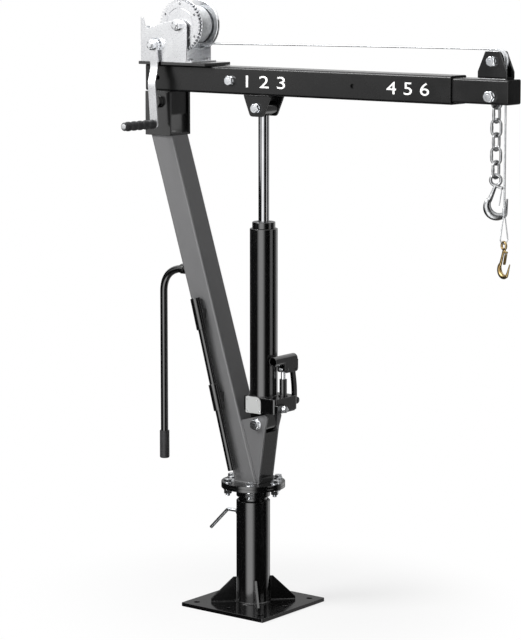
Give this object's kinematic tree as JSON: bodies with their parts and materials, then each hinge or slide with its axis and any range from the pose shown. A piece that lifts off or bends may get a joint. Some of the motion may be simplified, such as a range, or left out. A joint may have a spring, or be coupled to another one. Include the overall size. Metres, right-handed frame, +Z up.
{
  "type": "pickup truck crane",
  "caption": "Post crane with a leaning mast, tilting telescopic boom on a hydraulic jack, hand winch with rope and hook, and chain with slip hook.",
  "frame": {"origin": "centre of the base plate's underside", "axes": "+Z up, +X along the boom towards its hook end, +Y away from the winch crank"},
  "size_m": [1.1305, 0.3376, 1.5908],
  "materials": {
    "black_paint": "gloss powder coat",
    "zinc": "bright zinc plate",
    "steel_rope": "galvanised wire rope",
    "chrome": "polished",
    "brass_plate": "yellow passivated zinc",
    "black_rubber": "matt"
  },
  "bodies": {
    "base": {"base_plate": "black_paint", "base_post": "black_paint", "gusset_right": "black_paint", "gusset_back": "black_paint", "gusset_left": "black_paint", "gusset_front": "black_paint"},
    "lock_screw": {"lock_bolt": "zinc"},
    "mast": {"swivel_tube": "black_paint", "mast_tube": "black_paint", "flange_bolt_1": "zinc", "flange_bolt_2": "zinc", "flange_bolt_3": "zinc", "flange_bolt_4": "zinc", "flange_bolt_5": "zinc", "flange_bolt_6": "zinc", "jack_bracket": "black_paint", "mast_head": "black_paint", "swing_handle": "black_paint", "swing_grip": "black_rubber", "pump_handle": "black_paint", "boom_pivot_bolt": "black_paint", "jack_pivot_bolt": "zinc"},
    "jack": {"jack_base": "black_paint", "jack_cylinder": "black_paint", "jack_gland": "black_paint"},
    "ram": {"jack_ram": "chrome"},
    "plunger": {"pump_plunger": "zinc"},
    "link": {"pump_link": "black_paint"},
    "socket": {"handle_socket": "black_paint"},
    "valve": {"release_valve": "zinc"},
    "boom": {"boom_outer": "black_paint", "ram_bolt": "zinc", "boom_lock_bolt": "zinc", "winch_plate": "black_paint", "winch_frame": "zinc", "rope_run": "steel_rope"},
    "drum": {"winch_drum": "zinc", "winch_gear": "zinc", "rope_winding": "steel_rope"},
    "crank": {"pinion_shaft": "zinc", "crank_arm": "zinc"},
    "grip": {"crank_grip": "black_rubber"},
    "pawl": {"winch_pawl": "zinc"},
    "inner_boom": {"boom_inner": "black_paint", "sheave_bracket": "black_paint", "sheave_bolt": "zinc", "chain_bolt": "zinc", "rope_drop": "steel_rope", "rope_eye": "steel_rope"},
    "sheave_wheel": {"sheave": "zinc"},
    "link_1": {"chain_link_1": "zinc"},
    "link_2": {"chain_link_2": "zinc"},
    "link_3": {"chain_link_3": "zinc"},
    "link_4": {"chain_link_4": "zinc"},
    "link_5": {"chain_link_5": "zinc"},
    "link_6": {"chain_link_6": "zinc"},
    "slip_hook": {"chain_hook": "zinc"},
    "slip_latch": {"chain_hook_latch": "zinc"},
    "lift_hook": {"rope_hook": "brass_plate"},
    "lift_latch": {"rope_hook_latch": "brass_plate"}
  },
  "joints": [
    {"name": "mast_swivel", "type": "hinge", "parent": "base", "child": "mast", "pos_m": [0, 0, 0.3], "axis": [0, 0, 1], "continuous": true},
    {"name": "lock_turn", "type": "hinge", "parent": "base", "child": "lock_screw", "pos_m": [-0.0383, 0, 0.244], "axis": [1, 0, 0], "range_deg": [0, 180]},
    {"name": "boom_tilt", "type": "hinge", "parent": "mast", "child": "boom", "pos_m": [-0.284, 0, 1.321], "axis": [0, -1, 0], "range_deg": [-10, 20]},
    {"name": "jack_lean", "type": "hinge", "parent": "mast", "child": "jack", "pos_m": [0.035, 0, 0.4914], "axis": [0, -1, 0], "range_deg": [-1, 1]},
    {"name": "ram_slide", "type": "slide", "parent": "jack", "child": "ram", "axis": [0, 0, 1], "range_m": [-0.06, 0.115]},
    {"name": "link_sway", "type": "hinge", "parent": "jack", "child": "link", "pos_m": [0.085, 0.066, 0.548], "axis": [-1, 0, 0], "range_deg": [-2, 2]},
    {"name": "socket_rock", "type": "hinge", "parent": "link", "child": "socket", "pos_m": [0.085, 0.057, 0.636], "axis": [-1, 0, 0], "range_deg": [-13, 25]},
    {"name": "plunger_slide", "type": "slide", "parent": "jack", "child": "plunger", "axis": [0, 0, 1], "range_m": [-0.01, 0.018]},
    {"name": "valve_turn", "type": "hinge", "parent": "jack", "child": "valve", "pos_m": [0.104, -0.022, 0.539], "axis": [1, 0, 0], "range_deg": [0, 180]},
    {"name": "boom_extend", "type": "slide", "parent": "boom", "child": "inner_boom", "axis": [1, 0, 0], "range_m": [0, 0.388]},
    {"name": "drum_spin", "type": "hinge", "parent": "boom", "child": "drum", "pos_m": [-0.208, 0, 1.5218], "axis": [0, 1, 0], "continuous": true},
    {"name": "crank_spin", "type": "hinge", "parent": "boom", "child": "crank", "pos_m": [-0.28154, 0, 1.46992], "axis": [0, 1, 0], "continuous": true},
    {"name": "grip_spin", "type": "hinge", "parent": "crank", "child": "grip", "pos_m": [-0.26746, -0.14, 1.2634], "axis": [0, 1, 0], "continuous": true},
    {"name": "pawl_rock", "type": "hinge", "parent": "boom", "child": "pawl", "pos_m": [-0.32472, -0.041, 1.51214], "axis": [0, -1, 0], "range_deg": [0, 25], "stiffness_Nm_per_rad": 0.2, "springref_deg": -17.19},
    {"name": "sheave_spin", "type": "hinge", "parent": "inner_boom", "child": "sheave_wheel", "pos_m": [0.738, 0, 1.456], "axis": [0, 1, 0], "continuous": true},
    {"name": "link_1_swing", "type": "hinge", "parent": "inner_boom", "child": "link_1", "pos_m": [0.741, 0, 1.372], "axis": [0, 1, 0], "range_deg": [0, 15]},
    {"name": "link_2_swing", "type": "hinge", "parent": "link_1", "child": "link_2", "pos_m": [0.741, 0, 1.3428], "axis": [1, 0, 0], "range_deg": [0, 25]},
    {"name": "link_3_swing", "type": "hinge", "parent": "link_2", "child": "link_3", "pos_m": [0.741, 0, 1.3092], "axis": [0, 1, 0], "range_deg": [0, 25]},
    {"name": "link_4_swing", "type": "hinge", "parent": "link_3", "child": "link_4", "pos_m": [0.741, 0, 1.2756], "axis": [1, 0, 0], "range_deg": [0, 25]},
    {"name": "link_5_swing", "type": "hinge", "parent": "link_4", "child": "link_5", "pos_m": [0.741, 0, 1.242], "axis": [0, 1, 0], "range_deg": [0, 25]},
    {"name": "link_6_swing", "type": "hinge", "parent": "link_5", "child": "link_6", "pos_m": [0.741, 0, 1.2084], "axis": [1, 0, 0], "range_deg": [0, 25]},
    {"name": "slip_hook_swing", "type": "hinge", "parent": "link_6", "child": "slip_hook", "pos_m": [0.741, 0, 1.1748], "axis": [0, 1, 0], "range_deg": [0, 25]},
    {"name": "slip_latch_open", "type": "hinge", "parent": "slip_hook", "child": "slip_latch", "pos_m": [0.75336, 0.00657, 1.1462], "axis": [-0.4695, 0.8829, 0], "range_deg": [0, 25], "stiffness_Nm_per_rad": 0.02, "springref_deg": -28.65},
    {"name": "lift_hook_swing", "type": "hinge", "parent": "inner_boom", "child": "lift_hook", "pos_m": [0.766, 0, 1.017], "axis": [0.1736, 0.9848, 0], "range_deg": [-25, 25]},
    {"name": "lift_latch_open", "type": "hinge", "parent": "lift_hook", "child": "lift_latch", "pos_m": [0.77434, -0.00337, 0.9938], "axis": [0.3746, 0.9272, 0], "range_deg": [0, 20], "stiffness_Nm_per_rad": 0.01, "springref_deg": -28.65}
  ],
  "couplings": [
    {"joint": "jack_lean", "follows": "boom_tilt", "ratio": 0.025},
    {"joint": "ram_slide", "follows": "boom_tilt", "m_per_rad": 0.319},
    {"joint": "link_sway", "follows": "socket_rock", "ratio": -0.05},
    {"joint": "plunger_slide", "follows": "socket_rock", "m_per_rad": 0.036},
    {"joint": "crank_spin", "follows": "drum_spin", "ratio": -2.75},
    {"joint": "sheave_spin", "follows": "drum_spin", "ratio": -1.6929}
  ]
}
